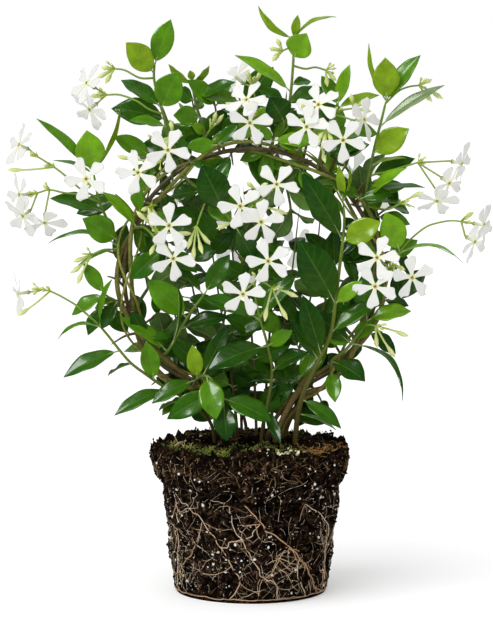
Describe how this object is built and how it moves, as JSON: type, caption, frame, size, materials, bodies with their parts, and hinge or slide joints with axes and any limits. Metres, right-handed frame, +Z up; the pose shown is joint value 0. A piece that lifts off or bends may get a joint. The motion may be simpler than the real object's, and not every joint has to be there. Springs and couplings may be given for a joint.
{
  "type": "potted climbing plant",
  "caption": "Star jasmine trained round a small wire hoop, in leaf and white flower, lifted from its pot with a bare, tapering root ball that stands on its flat foot.",
  "frame": {"origin": "centre of the root ball's flat underside, on the surface it stands on", "axes": "+Z up from the foot through the soil to the topmost leaves; -Y towards the side that faces the viewer; +X towards that viewer's right, in the plane of the hoop"},
  "size_m": [0.3274, 0.1304, 0.393],
  "materials": {
    "soil": "rough crumbly soil",
    "root": "matt root skin",
    "wire": "satin dark green coating",
    "bark": "dull bark",
    "foliage": "glossy leaf",
    "petal": "soft matt petal"
  },
  "bodies": {
    "root": {"root_ball": "soil", "surface_roots": "root", "support_hoop": "wire", "vine_1": "bark", "vine_2": "bark", "vine_3": "bark", "vine_4": "bark", "shoot_inner_left": "foliage", "shoot_inner_right": "foliage", "shoot_left": "foliage", "shoot_left_inner": "foliage", "shoot_left_low": "foliage", "shoot_low_front": "foliage", "shoot_lower_left": "foliage", "shoot_lower_right": "foliage", "shoot_middle": "foliage", "shoot_rear_left": "foliage", "shoot_rear_low_left": "foliage", "shoot_rear_low_right": "foliage", "shoot_rear_middle": "foliage", "shoot_rear_right": "foliage", "shoot_rear_top": "foliage", "shoot_rear_top_left": "foliage", "shoot_right": "foliage", "shoot_top": "foliage", "shoot_top_centre": "foliage", "shoot_top_left": "foliage", "shoot_top_left_rear": "foliage", "shoot_top_right": "foliage", "shoot_top_right_inner": "foliage", "shoot_upper_inner": "foliage", "bloom_centre": "petal", "bloom_centre_low": "petal", "bloom_centre_mid": "petal", "bloom_centre_right": "petal", "bloom_centre_top": "petal", "bloom_far_left": "petal", "bloom_far_left_low": "petal", "bloom_far_left_top": "petal", "bloom_far_left_upper": "petal", "bloom_far_right": "petal", "bloom_far_right_low": "petal", "bloom_left_inner": "petal", "bloom_left_outer": "petal", "bloom_left_upper": "petal", "bloom_left_upper_outer": "petal", "bloom_rear_left": "petal", "bloom_rear_low_right": "petal", "bloom_rear_middle": "petal", "bloom_rear_right": "petal", "bloom_rear_top": "petal", "bloom_rear_top_left": "petal", "bloom_right": "petal", "bloom_right_outer": "petal", "bloom_top_centre": "petal", "bloom_top_rear": "petal", "bloom_upper_right": "petal", "bloom_upper_right_front": "petal", "bloom_upper_right_side": "petal"}
  },
  "joints": []
}
